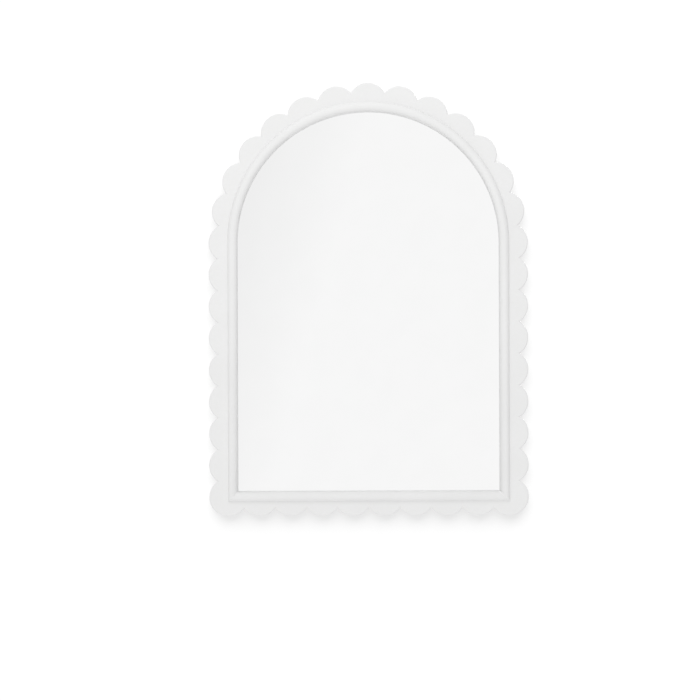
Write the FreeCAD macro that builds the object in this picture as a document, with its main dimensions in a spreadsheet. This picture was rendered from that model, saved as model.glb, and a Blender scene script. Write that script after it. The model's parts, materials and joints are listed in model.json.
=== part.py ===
import FreeCAD, Part
import math
import os
import Sketcher

# A wall mirror with an arched top. One flat board carries a scalloped outer edge and, in its back,
# two stepped rabbets for the glass and the backing. A half-round bead runs round the opening.
# Two folded straps on the back each carry a loose D-shaped ring, and two rubber bumpers stand below.
# X runs to the right, Z up and the front faces -Y. The origin is the centre of the arch, on the
# plane of the back, so a depth below counts from the back of the board towards the front.

SIZES = {
    # Scalloped board: scallop centres lie on an arch with straight legs and a straight bottom row
    "arch_radius": 268.5,
    "leg_drop": 486.0,
    "scallop_radius": 36.5,
    "arch_pitches": 14,
    "leg_pitches": 8,
    "bottom_pitches": 9,
    "board_thickness": 15.0,
    "edge_round": 2.5,
    # Half-round bead, whose outer edge follows the line of the scallop centres
    "bead_width": 18.0,
    "bead_height": 8.5,
    "bead_quirk": 1.2,
    "sill_drop": 7.0,
    # Rabbets, glass, foam and backing
    "glass_lap": 6.5,
    "ledge_width": 12.0,
    "glass_thickness": 4.0,
    "glass_clearance": 1.5,
    "foam_thickness": 1.0,
    "foam_width": 10.0,
    "foam_inset": 1.0,
    "foam_joint": 1.0,
    "backing_thickness": 3.0,
    "backing_clearance": 0.5,
    "block_length": 30.0,
    "block_place_share": 0.5,
    # Countersunk screws of the backing
    "screw_radius": 1.5,
    "screw_head_radius": 3.0,
    "screw_length": 10.0,
    "screw_sink": 0.2,
    "screw_clearance": 0.1,
    "screw_arch_count": 5,
    "screw_leg_count": 3,
    "screw_bottom_count": 3,
    # Headless pins of the beads
    "pin_radius": 0.6,
    "pin_length": 12.0,
    "pin_set": 1.5,
    "pin_clearance": 0.02,
    "pin_arch_count": 8,
    "pin_leg_count": 4,
    "pin_bottom_count": 4,
    # Hangers: a strap folded round the straight bar of a wire ring
    "ring_wire": 3.0,
    "ring_drop": 18.0,
    "ring_side_gap": 0.6,
    "ring_rest_gap": 0.3,
    "hinge_clearance": 0.1,
    "strap_metal": 1.0,
    "strap_width": 15.0,
    "strap_fold_gap": 0.2,
    "strap_bend": 1.0,
    "strap_end": 43.0,
    "strap_corner": 3.0,
    "strap_hole_drop": 24.5,
    "strap_hole_pitch": 12.5,
    "strap_hole_count": 2,
    "hanger_out_share": 0.33,
    "hanger_up_share": 0.38,
    "hanger_head_height": 2.0,
    "hanger_head_round": 1.2,
    # Bumpers
    "bumper_radius": 8.0,
    "bumper_top_radius": 6.5,
    "bumper_height": 6.0,
    "bumper_round": 1.0,
    "bumper_place_share": 0.44,
    # Every cut runs this far past the material
    "overrun": 5.0,
}

# Sizes and places that follow from the sizes above, each given by its formula
PLACES = {
    "sight_half": "Sizes.arch_radius - Sizes.bead_width",
    "bead_sill": "Sizes.leg_drop + Sizes.sill_drop",
    "sight_sill": "bead_sill - Sizes.bead_width",
    "scallop_leg_pitch": "Sizes.leg_drop / Sizes.leg_pitches",
    "scallop_bottom_pitch": "2 * Sizes.arch_radius / Sizes.bottom_pitches",
    "scallop_bottom_count": "Sizes.bottom_pitches + 1",
    "scallop_arch_turn": "180 / Sizes.arch_pitches",
    "scallop_flat": "Sizes.scallop_radius - Sizes.edge_round",
    "round_start": "Sizes.board_thickness - Sizes.edge_round",
    "bead_rise": "Sizes.bead_height - Sizes.bead_quirk",
    "bead_curve": "((Sizes.bead_width / 2) ^ 2 + bead_rise ^ 2) / (2 * bead_rise)",
    "quirk_top": "Sizes.board_thickness + Sizes.bead_quirk",
    "crest": "Sizes.board_thickness + Sizes.bead_height",
    "cut_depth": "crest + Sizes.overrun",
    "glass_rabbet_half": "sight_half + Sizes.glass_lap",
    "glass_rabbet_sill": "sight_sill + Sizes.glass_lap",
    "backing_rabbet_half": "glass_rabbet_half + Sizes.ledge_width",
    "backing_rabbet_sill": "glass_rabbet_sill + Sizes.ledge_width",
    "glass_half": "glass_rabbet_half - Sizes.glass_clearance",
    "glass_sill": "glass_rabbet_sill - Sizes.glass_clearance",
    "glass_back": "Sizes.backing_thickness + Sizes.foam_thickness",
    "glass_rabbet_depth": "glass_back + Sizes.glass_thickness",
    "backing_half": "backing_rabbet_half - Sizes.backing_clearance",
    "backing_sill": "backing_rabbet_sill - Sizes.backing_clearance",
    "block_inner": "Sizes.block_place_share * glass_half - Sizes.block_length / 2",
    "block_outer": "block_inner + Sizes.block_length",
    "foam_outer": "glass_half - Sizes.foam_inset",
    "foam_inner": "foam_outer - Sizes.foam_width",
    "foam_sill": "glass_sill - Sizes.foam_inset",
    "foam_sill_inner": "foam_sill - Sizes.foam_width",
    "foam_leg_end": "foam_sill_inner - Sizes.foam_joint",
    # Countersunk screws, and the wider countersinks and pilot holes that they go in
    "screw_head_end": "Sizes.screw_sink + Sizes.screw_head_radius - Sizes.screw_radius",
    "screw_tip": "Sizes.screw_sink + Sizes.screw_length",
    "screw_taper": "screw_tip - Sizes.screw_radius",
    "sink_radius": "Sizes.screw_head_radius + Sizes.screw_sink + Sizes.screw_clearance",
    "sink_end": "sink_radius - screw_hole_radius",
    "screw_hole_radius": "Sizes.screw_radius + Sizes.screw_clearance",
    "screw_hole_depth": "screw_tip + Sizes.screw_clearance",
    # Pins, from their set heads under the crest down into the board
    "pin_head": "crest - Sizes.pin_set",
    "pin_tip": "pin_head - Sizes.pin_length",
    "pin_hole_radius": "Sizes.pin_radius + Sizes.pin_clearance",
    "pin_hole_head": "pin_head + Sizes.pin_clearance",
    "pin_hole_tip": "pin_tip - Sizes.pin_clearance",
    # Lines that the screws and the pins follow
    "screw_half": "glass_rabbet_half + Sizes.ledge_width / 2",
    "screw_sill": "glass_rabbet_sill + Sizes.ledge_width / 2",
    "pin_half": "sight_half + Sizes.bead_width / 2",
    "pin_sill": "sight_sill + Sizes.bead_width / 2",
    # Hangers, with the hinge axis at the middle of the loop
    "wire_radius": "Sizes.ring_wire / 2",
    "loop_inner": "wire_radius + Sizes.hinge_clearance",
    "loop_outer": "loop_inner + Sizes.strap_metal",
    "strap_half": "Sizes.strap_width / 2",
    "fold_inner": "Sizes.strap_metal + Sizes.strap_fold_gap",
    "fold_outer": "fold_inner + Sizes.strap_metal",
    "bend_outer": "Sizes.strap_bend + Sizes.strap_metal",
    "bend_side": "fold_outer + Sizes.strap_bend - loop_outer",
    "bend_reach": "loop_outer + Sizes.strap_bend",
    "bend_drop": "sqrt(bend_reach ^ 2 - bend_side ^ 2)",
    "touch_outer_out": "loop_outer + loop_outer * bend_side / bend_reach",
    "touch_outer_drop": "loop_outer * bend_drop / bend_reach",
    "touch_inner_out": "loop_outer + loop_inner * bend_side / bend_reach",
    "touch_inner_drop": "loop_inner * bend_drop / bend_reach",
    "loop_far": "loop_outer + loop_outer",
    "loop_far_inner": "loop_outer + loop_inner",
    "ring_bend": "wire_radius + Sizes.ring_side_gap",
    "ring_half": "strap_half + ring_bend",
    "ring_side_end": "Sizes.ring_drop - ring_half",
    "ring_lift": "fold_outer + wire_radius + Sizes.ring_rest_gap - loop_outer",
    "ring_tilt": "asin(ring_lift / Sizes.ring_drop) / 1 deg",
    "hanger_x": "Sizes.arch_radius + Sizes.hanger_out_share * Sizes.scallop_radius",
    "hanger_z": "Sizes.hanger_up_share * Sizes.scallop_radius",
    "hanger_screw_z": "hanger_z - Sizes.strap_hole_drop",
    "hanger_head_top": "fold_outer + Sizes.hanger_head_height",
    "hanger_head_edge": "hanger_head_top - Sizes.hanger_head_round",
    "hanger_head_flat": "Sizes.screw_head_radius - Sizes.hanger_head_round",
    "hanger_tip": "Sizes.screw_length - fold_outer",
    "hanger_taper": "hanger_tip - Sizes.screw_radius",
    "hanger_hole_depth": "hanger_tip + Sizes.screw_clearance",
    # Bumpers on the corner scallops
    "bumper_x": "Sizes.arch_radius + Sizes.bumper_place_share * Sizes.scallop_radius",
    "bumper_z": "-Sizes.leg_drop - Sizes.bumper_place_share * Sizes.scallop_radius",
    "bumper_edge": "Sizes.bumper_height - Sizes.bumper_round",
    "bumper_flat": "Sizes.bumper_top_radius - Sizes.bumper_round",
}

# Each run of the frame takes its fasteners at the middles of equal steps
for fastener in ("screw", "pin"):
    PLACES.update({
        f"{fastener}_arch_turn": f"180 / Sizes.{fastener}_arch_count",
        f"{fastener}_arch_x": f"{fastener}_half * cos({fastener}_arch_turn / 2 * 1 deg)",
        f"{fastener}_arch_z": f"{fastener}_half * sin({fastener}_arch_turn / 2 * 1 deg)",
        f"{fastener}_leg_step": f"sight_sill / Sizes.{fastener}_leg_count",
        f"{fastener}_leg_x": f"{fastener}_half",
        f"{fastener}_leg_z": f"-{fastener}_leg_step / 2",
        f"{fastener}_bottom_step": f"2 * sight_half / Sizes.{fastener}_bottom_count",
        f"{fastener}_bottom_x": f"sight_half - {fastener}_bottom_step / 2",
        f"{fastener}_bottom_z": f"-{fastener}_sill",
    })

doc = FreeCAD.newDocument("scalloped_mirror")
sheet = doc.addObject("Spreadsheet::Sheet", "Sizes")
for row, (alias, size) in enumerate(SIZES.items(), start=1):
    sheet.set(f"A{row}", alias)
    sheet.set(f"B{row}", str(size))
    sheet.setAlias(f"B{row}", alias)
doc.recompute()

places = doc.addObject("App::VarSet", "Places")
for alias in PLACES:
    places.addProperty("App::PropertyFloat", alias)
for alias, formula in PLACES.items():
    places.setExpression(alias, formula)
doc.recompute()


def ref(name):
    """The expression that reads a named size or place, which may have a leading minus."""
    sign, plain = ("-", name[1:]) if name.startswith("-") else ("", name)
    return sign + ("Sizes." if plain in SIZES else "Places.") + plain


def number(name):
    """The present value of a named size or place, or zero for "0"."""
    if name == "0":
        return 0.0
    sign, plain = (-1, name[1:]) if name.startswith("-") else (1, name)
    return sign * float(sheet.get(plain) if plain in SIZES else getattr(places, plain))


def new_body(label):
    """An empty body, which may hold several separate solids."""
    body = doc.addObject("PartDesign::Body", label)
    body.Label = label
    body.AllowCompound = True
    return body


def origin(body, role):
    """One of a body's own origin planes or axes."""
    return next(feature for feature in body.Origin.OriginFeatures if feature.Role == role)


def new_sketch(body, name, plane, offset=("0", "0", "0")):
    """A sketch on an origin plane of its body, moved by named distances along the plane and off it."""
    sketch = body.newObject("Sketcher::SketchObject", name)
    sketch.AttachmentSupport = [(origin(body, plane), "")]
    sketch.MapMode = "FlatFace"
    for axis, distance in zip("xyz", offset):
        if distance != "0":
            sketch.setExpression(f"AttachmentOffset.Base.{axis}", ref(distance))
    return sketch


def bind(sketch, constraint, name):
    """Add a constraint whose value is a named size."""
    index = sketch.addConstraint(constraint)
    sketch.setExpression(f"Constraints[{index}]", ref(name))


def place_point(sketch, edge, point, kind, name):
    """Hold a point of an edge at a named DistanceX or DistanceY from the sketch's origin."""
    if name == "0":
        axis = -2 if kind == "DistanceX" else -1
        sketch.addConstraint(Sketcher.Constraint("PointOnObject", edge, point, axis))
    elif number(name) < 0:
        opposite = name[1:] if name.startswith("-") else "-" + name
        bind(sketch, Sketcher.Constraint(kind, edge, point, -1, 1, -number(name)), opposite)
    else:
        bind(sketch, Sketcher.Constraint(kind, -1, 1, edge, point, number(name)), name)


def arc_between(start, end, radius):
    """A counter-clockwise arc from start to end, of no more than a half circle."""
    chord = end - start
    side = FreeCAD.Vector(-chord.y, chord.x, 0).normalize()
    height = math.sqrt(max(radius ** 2 - (chord.Length / 2) ** 2, 0))
    centre = (start + end) * 0.5 + side * height
    angles = [math.atan2(point.y - centre.y, point.x - centre.x) for point in (start, end)]
    return Part.ArcOfCircle(Part.Circle(centre, FreeCAD.Vector(0, 0, 1), radius), *angles)


def draw(sketch, points, arcs=None):
    """Draw a closed outline through named points.

    arcs gives, by the number of the point that an edge starts from, the arc's named radius and whether
    it turns counter-clockwise. A radius of None makes a half circle, whose centre is level with its ends.
    Every other edge is a straight line.
    """
    arcs = arcs or {}
    corners = [FreeCAD.Vector(number(x), number(y), 0) for x, y in points]
    ends = []
    for index, start in enumerate(corners):
        end = corners[(index + 1) % len(corners)]
        if index not in arcs:
            sketch.addGeometry(Part.LineSegment(start, end), False)
            ends.append((1, 2))
            continue
        radius, counter_clockwise = arcs[index]
        pair = (start, end) if counter_clockwise else (end, start)
        size = number(radius) if radius else (end - start).Length / 2
        edge = sketch.addGeometry(arc_between(*pair, size), False)
        if radius:
            bind(sketch, Sketcher.Constraint("Radius", edge, size), radius)
        else:
            place_point(sketch, edge, 3, "DistanceY", points[index][1])
        ends.append((1, 2) if counter_clockwise else (2, 1))
    for index, (x, y) in enumerate(points):
        before = index - 1 if index else len(points) - 1
        sketch.addConstraint(
            Sketcher.Constraint("Coincident", before, ends[before][1], index, ends[index][0])
        )
        place_point(sketch, index, ends[index][0], "DistanceX", x)
        place_point(sketch, index, ends[index][0], "DistanceY", y)
    return sketch


def draw_arch(sketch, half, sill):
    """The shape of the opening: a half circle on two straight legs and a straight sill."""
    points = [(half, "0"), ("-" + half, "0"), ("-" + half, "-" + sill), (half, "-" + sill)]
    corners = [FreeCAD.Vector(number(x), number(y), 0) for x, y in points]
    top = Part.Circle(FreeCAD.Vector(), FreeCAD.Vector(0, 0, 1), number(half))
    sketch.addGeometry(Part.ArcOfCircle(top, 0, math.pi), False)
    for start, end in zip(corners[1:], corners[2:] + corners[:1]):
        sketch.addGeometry(Part.LineSegment(start, end), False)
    sketch.addConstraint(Sketcher.Constraint("Coincident", 0, 3, -1, 1))
    bind(sketch, Sketcher.Constraint("Radius", 0, number(half)), half)
    for edge in range(3):
        sketch.addConstraint(Sketcher.Constraint("Coincident", edge, 2, edge + 1, 1))
    sketch.addConstraint(Sketcher.Constraint("Coincident", 3, 2, 0, 1))
    sketch.addConstraint(Sketcher.Constraint("PointOnObject", 0, 1, -1))
    sketch.addConstraint(Sketcher.Constraint("PointOnObject", 0, 2, -1))
    sketch.addConstraint(Sketcher.Constraint("Vertical", 1))
    sketch.addConstraint(Sketcher.Constraint("Horizontal", 2))
    sketch.addConstraint(Sketcher.Constraint("Vertical", 3))
    bind(sketch, Sketcher.Constraint("DistanceY", 1, 2, 1, 1, number(sill)), sill)
    return sketch


def add(body, kind, name, **settings):
    """Add a feature, bind the settings that name a size and make it the tip of its body."""
    feature = body.newObject("PartDesign::" + kind, name)
    for key, setting in settings.items():
        if isinstance(setting, str) and (setting in SIZES or setting in PLACES):
            feature.setExpression(key, ref(setting))
        else:
            setattr(feature, key, setting)
    body.Tip = feature
    return feature


def turned(body, kind, name, points, arcs=None, at=("0", "0")):
    """Turn an outline of radius and depth about an axis square to the back, by a full turn.

    kind is Revolution, which adds material, or Groove, which cuts it.
    """
    sketch = new_sketch(body, name + "_outline", "XY_Plane", (at[0], "0", at[1]))
    draw(sketch, points, arcs)
    return add(body, kind, name, Profile=sketch, ReferenceAxis=(sketch, ["V_Axis"]), Angle=360.0)


def arch_pattern(body, feature, turn, count):
    """Repeat a feature over the arch, from the right to the left."""
    return add(
        body, "PolarPattern", feature.Name + "_arch", Originals=[feature],
        Axis=(origin(body, "Y_Axis"), [""]), Mode="Spacing", Offset=turn, Occurrences=count,
        Reversed=True,
    )


def row_pattern(body, originals, name, axis, step, count):
    """Repeat features in a straight row, down a leg (Z_Axis) or to the left (X_Axis)."""
    return add(
        body, "LinearPattern", name + "_row", Originals=originals,
        Direction=(origin(body, axis), [""]), Mode="Spacing", Offset=step, Occurrences=count,
        Reversed=True,
    )


def both_legs(body, feature, step, count):
    """Repeat a feature down the right leg, and mirror the row to the left one."""
    both = body.newObject("PartDesign::MultiTransform", feature.Name + "_both")
    row = row_pattern(body, [], feature.Name, "Z_Axis", step, count)
    mirror = add(
        body, "Mirrored", feature.Name + "_mirror", MirrorPlane=(origin(body, "YZ_Plane"), [""])
    )
    both.Originals = [feature]
    both.Transformations = [row, mirror]
    body.Tip = both
    return both


def on_run(body, kind, fastener, run, points, both=True):
    """Make a turned shape at each place of a fastener along the arch, leg or bottom run.

    The leg run is on both legs, or on the right one alone where both is False.
    """
    place = f"{fastener}_{run}"
    first = turned(body, kind, f"{body.Label}_{place}", points, at=(place + "_x", place + "_z"))
    if run == "arch":
        arch_pattern(body, first, place + "_turn", place + "_count")
    elif run == "leg" and both:
        both_legs(body, first, place + "_step", place + "_count")
    else:
        axis = "Z_Axis" if run == "leg" else "X_Axis"
        row_pattern(body, [first], first.Name, axis, place + "_step", place + "_count")


def on_every_run(body, kind, fastener, points):
    """Make a turned shape at every place of a fastener round the frame."""
    for run in ("arch", "leg", "bottom"):
        on_run(body, kind, fastener, run, points)


def mirrored(source, label):
    """The left-hand twin of a right-hand piece."""
    twin = doc.addObject("Part::Mirroring", label)
    twin.Label = label
    twin.Source = source
    twin.Normal = FreeCAD.Vector(1, 0, 0)
    return twin


def cylinder_outline(radius, near, far):
    """Half the section of a cylinder between two named heights along its axis."""
    return [("0", near), (radius, near), (radius, far), ("0", far)]


PIN_HOLE = cylinder_outline("pin_hole_radius", "-pin_hole_tip", "-pin_hole_head")


def scalloped_board():
    """One sheet: a core, the rounded scallops along it, the opening, the rabbets and the holes."""
    body = new_body("scalloped_board")
    core = draw_arch(new_sketch(body, "core_outline", "XZ_Plane"), "arch_radius", "leg_drop")
    add(body, "Pad", "core", Profile=core, Length="board_thickness")
    scallop = [
        ("0", "0"),
        ("scallop_radius", "0"),
        ("scallop_radius", "-round_start"),
        ("scallop_flat", "-board_thickness"),
        ("0", "-board_thickness"),
    ]
    rounded = {2: ("edge_round", False)}
    upper = turned(body, "Revolution", "scallop", scallop, rounded, at=("arch_radius", "0"))
    arch_pattern(body, upper, "scallop_arch_turn", "arch_pitches")
    both_legs(body, upper, "scallop_leg_pitch", "leg_pitches")
    lower = turned(body, "Revolution", "corner", scallop, rounded, at=("arch_radius", "-leg_drop"))
    row_pattern(body, [lower], lower.Name, "X_Axis", "scallop_bottom_pitch", "scallop_bottom_count")
    for name, half, sill, depth in (
        ("opening", "sight_half", "sight_sill", "cut_depth"),
        ("glass_rabbet", "glass_rabbet_half", "glass_rabbet_sill", "glass_rabbet_depth"),
        ("backing_rabbet", "backing_rabbet_half", "backing_rabbet_sill", "backing_thickness"),
    ):
        outline = draw_arch(new_sketch(body, name + "_outline", "XZ_Plane"), half, sill)
        add(body, "Pocket", name, Profile=outline, Length=depth, Reversed=True)
    pilot = cylinder_outline("screw_hole_radius", "0", "-screw_hole_depth")
    on_every_run(body, "Groove", "screw", pilot)
    on_every_run(body, "Groove", "pin", PIN_HOLE)
    hanger_pilot = cylinder_outline("screw_hole_radius", "0", "-hanger_hole_depth")
    at = ("hanger_x", "hanger_screw_z")
    hanger_hole = turned(body, "Groove", "hanger_hole", hanger_pilot, at=at)
    both_legs(body, hanger_hole, "strap_hole_pitch", "strap_hole_count")
    return body


def bead_section(body, plane, outer, inner):
    """Draw the bead's section between its two named sides: short upright quirks under a round back.

    On the XY plane depth is the second axis, and on the YZ plane it is the first.
    """
    section = [
        (outer, "-board_thickness"),
        (outer, "-quirk_top"),
        (inner, "-quirk_top"),
        (inner, "-board_thickness"),
    ]
    if plane == "YZ_Plane":
        section = [(depth, side) for side, depth in section]
    return draw(new_sketch(body, "section", plane), section, {1: ("bead_curve", False)})


def bead_arch():
    """The bead over the arch, a half turn of its section."""
    body = new_body("bead_arch")
    section = bead_section(body, "XY_Plane", "arch_radius", "sight_half")
    add(
        body, "Revolution", "half_turn", Profile=section, ReferenceAxis=(origin(body, "Y_Axis"), [""]),
        Angle=180.0, Reversed=True,
    )
    on_run(body, "Groove", "pin", "arch", PIN_HOLE)
    return body


def bead_right_leg():
    """The straight bead on the right, cut at 45 degrees at its lower end."""
    body = new_body("bead_right_leg")
    section = bead_section(body, "XY_Plane", "arch_radius", "sight_half")
    add(body, "Pad", "length", Profile=section, Length="bead_sill", Reversed=True)
    waste = [("arch_radius", "-bead_sill"), ("sight_half", "-sight_sill"), ("sight_half", "-bead_sill")]
    cut = draw(new_sketch(body, "mitre_outline", "XZ_Plane"), waste)
    add(body, "Pocket", "mitre", Profile=cut, Length="cut_depth", Reversed=True)
    on_run(body, "Groove", "pin", "leg", PIN_HOLE, both=False)
    return body


def bead_bottom_rail():
    """The straight bead along the bottom, cut at 45 degrees at both ends."""
    body = new_body("bead_bottom_rail")
    section = bead_section(body, "YZ_Plane", "-bead_sill", "-sight_sill")
    rail = add(body, "Pad", "length", Profile=section, SideType="Symmetric")
    rail.setExpression("Length", "2 * Sizes.arch_radius")
    waste = [("arch_radius", "-bead_sill"), ("arch_radius", "-sight_sill"), ("sight_half", "-sight_sill")]
    cut = draw(new_sketch(body, "mitre_outline", "XZ_Plane"), waste)
    mitre = add(body, "Pocket", "mitre", Profile=cut, Length="cut_depth", Reversed=True)
    add(body, "Mirrored", "other_mitre", Originals=[mitre], MirrorPlane=(origin(body, "YZ_Plane"), [""]))
    on_run(body, "Groove", "pin", "bottom", PIN_HOLE)
    return body


def bead_pins():
    """The brads: plain wire, set under the crest of the bead and driven into the board."""
    body = new_body("bead_pins")
    on_every_run(body, "Revolution", "pin", cylinder_outline("pin_radius", "-pin_tip", "-pin_head"))
    return body


def beads():
    """The four lengths of bead and the pins that hold them."""
    right = bead_right_leg()
    return [bead_arch(), right, mirrored(right, "bead_left_leg"), bead_bottom_rail(), bead_pins()]


def sheet_piece(label, half, sill, front_of, thickness):
    """An arched sheet that lies a named depth in from the back."""
    body = new_body(label)
    outline = draw_arch(new_sketch(body, "outline", "XZ_Plane", ("0", "0", front_of)), half, sill)
    add(body, "Pad", "sheet", Profile=outline, Length=thickness)
    return body


def mirror_glass():
    """The silvered plate, which lies against the back of the lip."""
    return sheet_piece("mirror_glass", "glass_half", "glass_sill", "glass_back", "glass_thickness")


def strip(label, points, arcs, depth, thickness):
    """A flat piece of any outline that lies a named depth in from the back."""
    body = new_body(label)
    outline = draw(new_sketch(body, "outline", "XZ_Plane", ("0", "0", depth)), points, arcs)
    add(body, "Pad", "strip", Profile=outline, Length=thickness)
    return body


def box_points(low_x, high_x, low_z, high_z):
    """The corners of an upright rectangle."""
    return [(low_x, low_z), (high_x, low_z), (high_x, high_z), (low_x, high_z)]


def foam_strips():
    """Foam tape between glass and backing: two legs, the bottom and the arch."""
    legs = box_points("foam_inner", "foam_outer", "-foam_leg_end", "-foam_joint")
    right = strip("right_foam_strip", legs, None, "backing_thickness", "foam_thickness")
    left = mirrored(right, "left_foam_strip")
    row = box_points("-foam_outer", "foam_outer", "-foam_sill", "-foam_sill_inner")
    bottom = strip("bottom_foam_strip", row, None, "backing_thickness", "foam_thickness")
    ends = [("foam_outer", "0"), ("-foam_outer", "0"), ("-foam_inner", "0"), ("foam_inner", "0")]
    halves = {0: (None, True), 2: (None, False)}
    arch = strip("arch_foam_strip", ends, halves, "backing_thickness", "foam_thickness")
    return [right, left, bottom, arch]


def setting_blocks():
    """Rubber blocks between the lower edge of the glass and the floor of its rabbet."""
    block = box_points("block_inner", "block_outer", "-glass_rabbet_sill", "-glass_sill")
    right = strip("right_setting_block", block, None, "glass_back", "glass_thickness")
    return [right, mirrored(right, "left_setting_block")]


def backing_board():
    """The flush hardboard back, with a countersunk hole for each screw."""
    body = sheet_piece("backing_board", "backing_half", "backing_sill", "0", "backing_thickness")
    countersink = [
        ("0", "0"),
        ("sink_radius", "0"),
        ("screw_hole_radius", "-sink_end"),
        ("screw_hole_radius", "-screw_tip"),
        ("0", "-screw_tip"),
    ]
    on_every_run(body, "Groove", "screw", countersink)
    return body


def backing_screws():
    """Countersunk screws whose heads sit just below the back."""
    body = new_body("backing_screws")
    screw = [
        ("0", "-screw_sink"),
        ("screw_head_radius", "-screw_sink"),
        ("screw_radius", "-screw_head_end"),
        ("screw_radius", "-screw_taper"),
        ("0", "-screw_tip"),
    ]
    on_every_run(body, "Revolution", "screw", screw)
    return body


def lower_corner_edges(shape):
    """The names of the short edges at the lower end of a strap, which run square to the board."""
    low = shape.BoundBox.ZMin
    found = []
    for index, edge in enumerate(shape.Edges, start=1):
        box = edge.BoundBox
        if box.ZMax < low + edge.Length / 2 and box.YLength > max(box.XLength, box.ZLength):
            found.append(f"Edge{index}")
    return found


def right_hanger_strap():
    """A steel strip folded round the hinge axis, with its two layers pierced by two screw holes."""
    body = new_body("right_hanger_strap")
    section = [
        ("0", "-strap_end"),
        ("strap_metal", "-strap_end"),
        ("strap_metal", "0"),
        ("loop_far_inner", "0"),
        ("touch_inner_out", "-touch_inner_drop"),
        ("fold_inner", "-bend_drop"),
        ("fold_inner", "-strap_end"),
        ("fold_outer", "-strap_end"),
        ("fold_outer", "-bend_drop"),
        ("touch_outer_out", "-touch_outer_drop"),
        ("loop_far", "0"),
        ("0", "0"),
    ]
    arcs = {
        2: (None, False),
        3: ("loop_inner", False),
        4: ("bend_outer", True),
        8: ("strap_bend", False),
        9: ("loop_outer", True),
        10: (None, True),
    }
    sketch = draw(new_sketch(body, "fold", "YZ_Plane"), section, arcs)
    add(body, "Pad", "strap", Profile=sketch, SideType="Symmetric", Length="strap_width")
    doc.recompute()
    corners = lower_corner_edges(body.Shape)
    add(body, "Fillet", "corners", Base=(body.Tip, corners), Radius="strap_corner")
    hole_outline = cylinder_outline("screw_hole_radius", "0", "fold_outer")
    hole = turned(body, "Groove", "hole", hole_outline, at=("0", "-strap_hole_drop"))
    row_pattern(body, [hole], hole.Name, "Z_Axis", "strap_hole_pitch", "strap_hole_count")
    body.setExpression("Placement.Base.x", ref("hanger_x"))
    body.setExpression("Placement.Base.z", ref("hanger_z"))
    return body


def right_d_ring():
    """A ring of round wire with its straight bar on the hinge axis, leaning on the strap below."""
    body = new_body("right_d_ring")
    path = [
        ("-strap_half", "0"),
        ("strap_half", "0"),
        ("ring_half", "-ring_bend"),
        ("ring_half", "-ring_side_end"),
        ("-ring_half", "-ring_side_end"),
        ("-ring_half", "-ring_bend"),
    ]
    arcs = {
        1: ("ring_bend", False),
        3: (None, False),
        5: ("ring_bend", False),
    }
    spine = draw(new_sketch(body, "path", "XZ_Plane"), path, arcs)
    wire = new_sketch(body, "wire", "YZ_Plane")
    wire.addGeometry(Part.Circle(FreeCAD.Vector(), FreeCAD.Vector(0, 0, 1), number("wire_radius")), False)
    wire.addConstraint(Sketcher.Constraint("Coincident", 0, 3, -1, 1))
    bind(wire, Sketcher.Constraint("Radius", 0, number("wire_radius")), "wire_radius")
    doc.recompute()
    add(body, "AdditivePipe", "ring", Profile=wire, Spine=(spine, []))
    body.Placement.Rotation = FreeCAD.Rotation(FreeCAD.Vector(1, 0, 0), number("ring_tilt"))
    body.setExpression("Placement.Rotation.Angle", ref("ring_tilt"))
    body.setExpression("Placement.Base.x", ref("hanger_x"))
    body.setExpression("Placement.Base.y", ref("loop_outer"))
    body.setExpression("Placement.Base.z", ref("hanger_z"))
    return body


def hangers():
    """The strap and ring on each side."""
    right_strap = right_hanger_strap()
    right_ring = right_d_ring()
    return [
        right_strap,
        mirrored(right_strap, "left_hanger_strap"),
        right_ring,
        mirrored(right_ring, "left_d_ring"),
    ]


def hanger_screws():
    """Pan-head screws, two in each strap."""
    body = new_body("hanger_screws")
    screw = [
        ("0", "-hanger_tip"),
        ("screw_radius", "-hanger_taper"),
        ("screw_radius", "fold_outer"),
        ("screw_head_radius", "fold_outer"),
        ("screw_head_radius", "hanger_head_edge"),
        ("hanger_head_flat", "hanger_head_top"),
        ("0", "hanger_head_top"),
    ]
    arcs = {4: ("hanger_head_round", True)}
    first = turned(body, "Revolution", "screw", screw, arcs, at=("hanger_x", "hanger_screw_z"))
    both_legs(body, first, "strap_hole_pitch", "strap_hole_count")
    return body


def bumpers():
    """Tapered rubber bumpers on the two lower corners."""
    right = new_body("right_bumper")
    outline = [
        ("0", "0"),
        ("bumper_radius", "0"),
        ("bumper_top_radius", "bumper_edge"),
        ("bumper_flat", "bumper_height"),
        ("0", "bumper_height"),
    ]
    arcs = {2: ("bumper_round", True)}
    turned(right, "Revolution", "bumper", outline, arcs, at=("bumper_x", "bumper_z"))
    return [right, mirrored(right, "left_bumper")]


pieces = [
    scalloped_board(),
    *beads(),
    mirror_glass(),
    *setting_blocks(),
    *foam_strips(),
    backing_board(),
    backing_screws(),
    *hangers(),
    hanger_screws(),
    *bumpers(),
]
doc.recompute()

failed = [item for item in doc.Objects if "Invalid" in item.State or "Error" in item.State]
if failed:
    names = [f"{item.Label} of {owner.Label}" for item in failed for owner in item.InList[:1]]
    raise RuntimeError("failed: " + ", ".join(names))
for piece in pieces:
    if piece.Shape.isNull() or not piece.Shape.isValid() or not piece.Shape.Solids:
        raise RuntimeError(f"{piece.Label} has no valid solid")

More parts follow.
